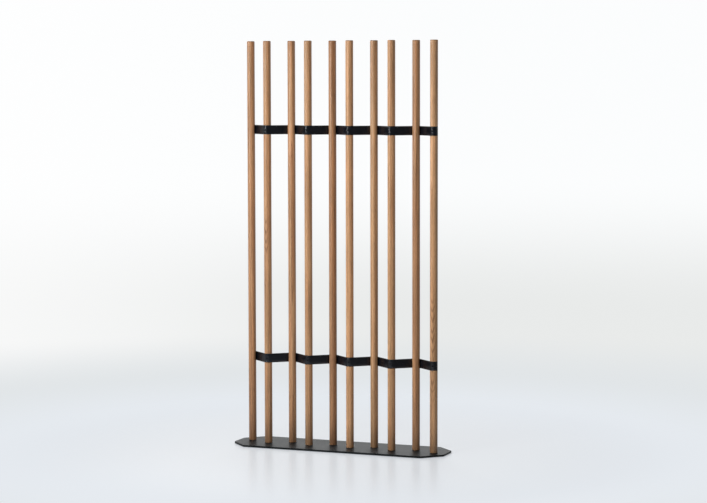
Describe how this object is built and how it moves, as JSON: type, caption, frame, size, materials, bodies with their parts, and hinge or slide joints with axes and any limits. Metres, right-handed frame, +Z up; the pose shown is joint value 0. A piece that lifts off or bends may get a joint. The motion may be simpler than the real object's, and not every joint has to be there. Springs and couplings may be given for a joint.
{
  "type": "room divider",
  "caption": "Free-standing divider: staggered round wooden poles on a thin elongated steel plate, tied by two dark straps woven through the rows to screen a space.",
  "frame": {"origin": "on the floor under the middle of the base plate", "axes": "+X along the rows of poles, +Y from the front row to the back row, +Z up"},
  "size_m": [0.94, 0.25, 1.7],
  "materials": {
    "oak": "oiled oak, fine open grain",
    "black_steel": "fine black powder coat",
    "strap_leather": "smooth black leather, softly polished",
    "black_screw": "blackened countersunk screws",
    "zinc_steel": "zinc plated",
    "felt": "dense dark felt"
  },
  "bodies": {
    "root": {"base_plate": "black_steel", "pole_01": "oak", "pole_02": "oak", "pole_03": "oak", "pole_04": "oak", "pole_05": "oak", "pole_06": "oak", "pole_07": "oak", "pole_08": "oak", "pole_09": "oak", "pole_10": "oak", "lower_strap": "strap_leather", "upper_strap": "strap_leather", "lower_strap_screws": "black_screw", "upper_strap_screws": "black_screw", "pole_screws": "zinc_steel", "pole_inserts": "zinc_steel", "front_pad_1": "felt", "front_pad_2": "felt", "front_pad_3": "felt", "back_pad_1": "felt", "back_pad_2": "felt", "back_pad_3": "felt"}
  },
  "joints": []
}
